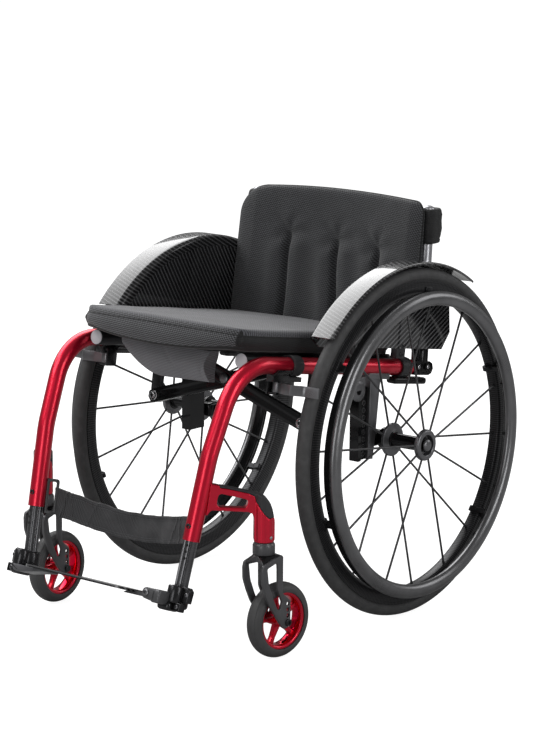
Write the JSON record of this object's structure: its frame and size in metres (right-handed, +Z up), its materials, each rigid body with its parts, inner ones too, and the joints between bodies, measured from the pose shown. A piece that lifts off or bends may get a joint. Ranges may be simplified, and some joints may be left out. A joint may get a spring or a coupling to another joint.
{
  "type": "active wheelchair",
  "caption": "Folding active wheelchair: bent side tubes on a cross brace, spoked wheels with handrims, swivel casters, sling seat with cushion, low back, flip-up footplate, brakes",
  "frame": {"origin": "on the floor under the middle of the bounding box", "axes": "+X to the occupant's left, -Y forwards, +Z up; the wheels stand on z = 0"},
  "size_m": [0.5894, 0.8616, 0.6862],
  "materials": {
    "red_paint": "metallic candy red paint, glossy",
    "black_metal": "black anodised, satin",
    "grey_metal": "dark grey anodised aluminium",
    "satin_ring": "dark grey satin",
    "bright_metal": "bright turned steel",
    "tyre_rubber": "grey-black slick rubber",
    "moulded_plastic": "black moulded plastic",
    "carbon": "clear-coated carbon fibre",
    "mesh_fabric": "black spacer mesh",
    "webbing": "black woven nylon"
  },
  "bodies": {
    "left_frame": {"frame_tube_left": "red_paint", "cradle_front_left": "moulded_plastic", "cradle_rear_left": "moulded_plastic", "hanger_left": "black_metal", "back_bracket_left": "black_metal", "back_tube_left": "grey_metal", "axle_bracket_left": "grey_metal", "sideguard_left": "carbon", "caster_arm_left": "red_paint", "caster_cap_left": "moulded_plastic", "foot_tube_left": "black_metal", "footrest_clamp_left": "moulded_plastic", "strap_loop_left": "moulded_plastic", "brake_clamp_left": "black_metal", "back_upholstery": "mesh_fabric", "calf_strap": "webbing"},
    "right_frame": {"frame_tube_right": "red_paint", "cradle_front_right": "moulded_plastic", "cradle_rear_right": "moulded_plastic", "hanger_right": "black_metal", "back_bracket_right": "black_metal", "back_tube_right": "grey_metal", "axle_bracket_right": "grey_metal", "sideguard_right": "carbon", "caster_arm_right": "red_paint", "caster_cap_right": "moulded_plastic", "foot_tube_right": "black_metal", "footrest_clamp_right": "moulded_plastic", "strap_loop_right": "moulded_plastic", "brake_clamp_right": "black_metal"},
    "brace_a": {"cross_bar_a": "black_metal", "seat_tube_right": "black_metal"},
    "brace_b": {"cross_bar_b": "black_metal", "cross_bolt": "black_metal", "seat_tube_left": "black_metal"},
    "seat": {"seat_sling": "webbing", "seat_cushion": "mesh_fabric"},
    "flip_plate": {"footplate": "carbon"},
    "wheel_left": {"rear_tyre_left": "tyre_rubber", "rear_rim_left": "black_metal", "rear_hub_left": "black_metal", "quick_axle_left": "bright_metal", "handrim_left": "satin_ring"},
    "wheel_right": {"rear_tyre_right": "tyre_rubber", "rear_rim_right": "black_metal", "rear_hub_right": "black_metal", "quick_axle_right": "bright_metal", "handrim_right": "satin_ring"},
    "button_left": {"release_button_left": "grey_metal"},
    "button_right": {"release_button_right": "grey_metal"},
    "fork_left": {"caster_fork_left": "black_metal", "caster_axle_left": "black_metal"},
    "fork_right": {"caster_fork_right": "black_metal", "caster_axle_right": "black_metal"},
    "caster_left": {"caster_rim_left": "red_paint", "caster_tyre_left": "tyre_rubber"},
    "caster_right": {"caster_rim_right": "red_paint", "caster_tyre_right": "tyre_rubber"},
    "brake_left": {"brake_arm_left": "grey_metal"},
    "brake_right": {"brake_arm_right": "grey_metal"}
  },
  "joints": [
    {"name": "fold", "type": "hinge", "parent": "left_frame", "child": "brace_a", "pos_m": [0.171, 0.12107, 0.32073], "axis": [0, 0.9884, -0.1521], "range_deg": [0, 51.4], "deforming": ["seat_sling", "seat_cushion", "back_upholstery", "calf_strap"]},
    {"name": "cross", "type": "hinge", "parent": "brace_a", "child": "brace_b", "pos_m": [0, 0.12898, 0.3721], "axis": [0, 0.9884, -0.1521], "range_deg": [-102.8, 0]},
    {"name": "frame_hang", "type": "hinge", "parent": "brace_b", "child": "right_frame", "pos_m": [-0.171, 0.12107, 0.32073], "axis": [0, 0.9884, -0.1521], "range_deg": [0, 51.4]},
    {"name": "seat_hang", "type": "hinge", "parent": "brace_b", "child": "seat", "pos_m": [0.158, 0.13629, 0.41956], "axis": [0, 0.9884, -0.1521], "range_deg": [0, 51.4]},
    {"name": "plate_flip", "type": "hinge", "parent": "left_frame", "child": "flip_plate", "pos_m": [0.141, -0.38717, 0.1225], "axis": [0, 0.9397, -0.342], "range_deg": [0, 82.24]},
    {"name": "wheel_spin_left", "type": "hinge", "parent": "left_frame", "child": "wheel_left", "pos_m": [0.246, 0.13583, 0.29499], "axis": [1, 0, 0.0087], "continuous": true},
    {"name": "wheel_spin_right", "type": "hinge", "parent": "right_frame", "child": "wheel_right", "pos_m": [-0.246, 0.13583, 0.29499], "axis": [1, 0, -0.0087], "continuous": true},
    {"name": "button_push_left", "type": "slide", "parent": "wheel_left", "child": "button_left", "axis": [-1, 0, -0.0087], "range_m": [0, 0.004], "stiffness_N_per_m": 400, "springref_m": -0.003},
    {"name": "button_push_right", "type": "slide", "parent": "wheel_right", "child": "button_right", "axis": [1, 0, -0.0087], "range_m": [0, 0.004], "stiffness_N_per_m": 400, "springref_m": -0.003},
    {"name": "swivel_left", "type": "hinge", "parent": "left_frame", "child": "fork_left", "pos_m": [0.243, -0.24017, 0.2], "axis": [0, 0, 1], "continuous": true},
    {"name": "swivel_right", "type": "hinge", "parent": "right_frame", "child": "fork_right", "pos_m": [-0.243, -0.24017, 0.2], "axis": [0, 0, 1], "continuous": true},
    {"name": "caster_roll_left", "type": "hinge", "parent": "fork_left", "child": "caster_left", "pos_m": [0.2469, -0.20841, 0.062], "axis": [0.9925, -0.1219, 0], "continuous": true},
    {"name": "caster_roll_right", "type": "hinge", "parent": "fork_right", "child": "caster_right", "pos_m": [-0.24356, -0.20818, 0.062], "axis": [0.9998, 0.0174, 0], "continuous": true},
    {"name": "brake_swing_left", "type": "hinge", "parent": "left_frame", "child": "brake_left", "pos_m": [0.187, -0.13696, 0.45859], "axis": [0, -0.1521, -0.9884], "range_deg": [0, 70]},
    {"name": "brake_swing_right", "type": "hinge", "parent": "right_frame", "child": "brake_right", "pos_m": [-0.187, -0.13696, 0.45859], "axis": [0, 0.1521, 0.9884], "range_deg": [0, 70]}
  ],
  "couplings": [
    {"joint": "cross", "follows": "fold", "ratio": -2},
    {"joint": "frame_hang", "follows": "fold", "ratio": 1},
    {"joint": "seat_hang", "follows": "fold", "ratio": 1},
    {"joint": "plate_flip", "follows": "fold", "ratio": 1.6}
  ]
}
